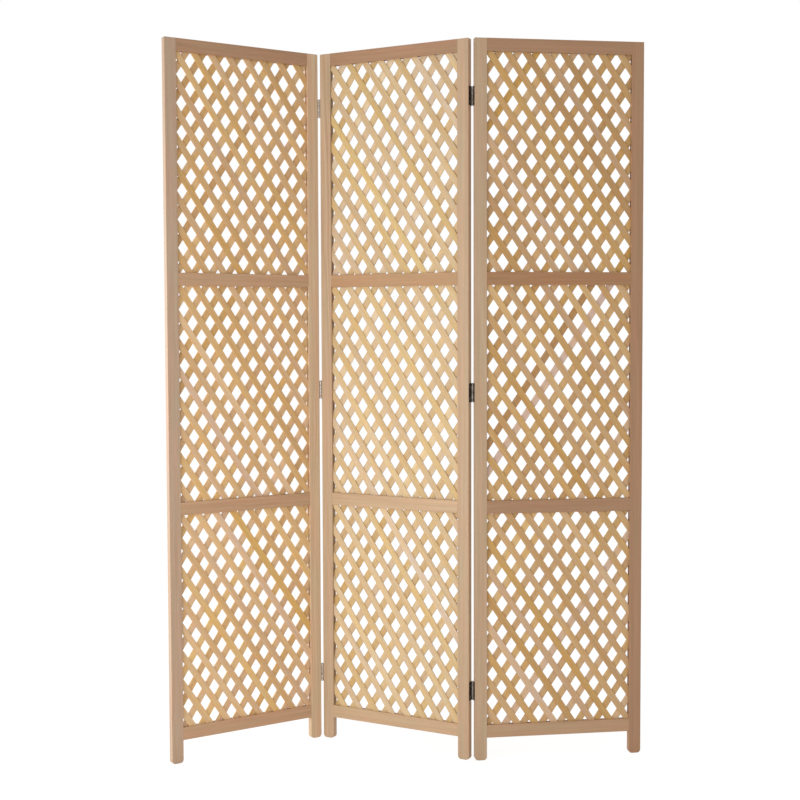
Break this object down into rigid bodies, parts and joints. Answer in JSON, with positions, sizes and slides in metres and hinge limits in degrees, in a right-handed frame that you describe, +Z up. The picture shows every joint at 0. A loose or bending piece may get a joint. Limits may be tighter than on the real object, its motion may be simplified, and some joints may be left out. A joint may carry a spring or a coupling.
{
  "type": "folding lattice screen",
  "caption": "Free-standing folding room screen: hinged wooden frame panels, each filled with a see-through lattice of crossed slats with diamond-shaped holes.",
  "frame": {"origin": "on the floor, under the middle of the bounding box of the half-folded screen as pictured", "axes": "+Z up, the front of the screen faces -Y, +X to the right as seen from the front"},
  "size_m": [1.1932, 0.252, 1.8],
  "materials": {
    "frame_wood": "bare, fine straight grain",
    "slat_wood_front": "bare, honey to amber",
    "slat_wood_back": "bare, honey to amber",
    "dowel_wood": "bare",
    "hinge_metal": "antique bronze, worn",
    "pin_metal": "dull steel",
    "screw_metal": "antique bronze"
  },
  "bodies": {
    "left_panel": {"left_panel_left_stile": "frame_wood", "left_panel_right_stile": "frame_wood", "left_panel_top_rail": "frame_wood", "left_panel_upper_middle_rail": "frame_wood", "left_panel_lower_middle_rail": "frame_wood", "left_panel_bottom_rail": "frame_wood", "left_panel_dowels": "dowel_wood", "left_panel_upper_lattice_front_slats": "slat_wood_front", "left_panel_upper_lattice_back_slats": "slat_wood_back", "left_panel_central_lattice_front_slats": "slat_wood_front", "left_panel_central_lattice_back_slats": "slat_wood_back", "left_panel_lower_lattice_front_slats": "slat_wood_front", "left_panel_lower_lattice_back_slats": "slat_wood_back", "left_joint_top_hinge_left_leaf": "hinge_metal", "left_joint_middle_hinge_left_leaf": "hinge_metal", "left_joint_bottom_hinge_left_leaf": "hinge_metal", "left_joint_left_screws": "screw_metal"},
    "middle_panel": {"middle_panel_left_stile": "frame_wood", "middle_panel_right_stile": "frame_wood", "middle_panel_top_rail": "frame_wood", "middle_panel_upper_middle_rail": "frame_wood", "middle_panel_lower_middle_rail": "frame_wood", "middle_panel_bottom_rail": "frame_wood", "middle_panel_dowels": "dowel_wood", "middle_panel_upper_lattice_front_slats": "slat_wood_front", "middle_panel_upper_lattice_back_slats": "slat_wood_back", "middle_panel_central_lattice_front_slats": "slat_wood_front", "middle_panel_central_lattice_back_slats": "slat_wood_back", "middle_panel_lower_lattice_front_slats": "slat_wood_front", "middle_panel_lower_lattice_back_slats": "slat_wood_back", "left_joint_top_hinge_middle_leaf": "hinge_metal", "left_joint_middle_hinge_middle_leaf": "hinge_metal", "left_joint_bottom_hinge_middle_leaf": "hinge_metal", "left_joint_hinge_pins": "pin_metal", "left_joint_middle_screws": "screw_metal", "right_joint_top_hinge_middle_leaf": "hinge_metal", "right_joint_middle_hinge_middle_leaf": "hinge_metal", "right_joint_bottom_hinge_middle_leaf": "hinge_metal", "right_joint_hinge_pins": "pin_metal", "right_joint_middle_screws": "screw_metal"},
    "right_panel": {"right_panel_left_stile": "frame_wood", "right_panel_right_stile": "frame_wood", "right_panel_top_rail": "frame_wood", "right_panel_upper_middle_rail": "frame_wood", "right_panel_lower_middle_rail": "frame_wood", "right_panel_bottom_rail": "frame_wood", "right_panel_dowels": "dowel_wood", "right_panel_upper_lattice_front_slats": "slat_wood_front", "right_panel_upper_lattice_back_slats": "slat_wood_back", "right_panel_central_lattice_front_slats": "slat_wood_front", "right_panel_central_lattice_back_slats": "slat_wood_back", "right_panel_lower_lattice_front_slats": "slat_wood_front", "right_panel_lower_lattice_back_slats": "slat_wood_back", "right_joint_top_hinge_right_leaf": "hinge_metal", "right_joint_middle_hinge_right_leaf": "hinge_metal", "right_joint_bottom_hinge_right_leaf": "hinge_metal", "right_joint_right_screws": "screw_metal"}
  },
  "joints": [
    {"name": "left_fold", "type": "hinge", "parent": "middle_panel", "child": "left_panel", "pos_m": [-0.22485, 0.11194, 0], "axis": [0, 0, 1], "range_deg": [-63, 117]},
    {"name": "right_fold", "type": "hinge", "parent": "middle_panel", "child": "right_panel", "pos_m": [0.16466, -0.08603, 0], "axis": [0, 0, 1], "range_deg": [-38, 142]}
  ]
}
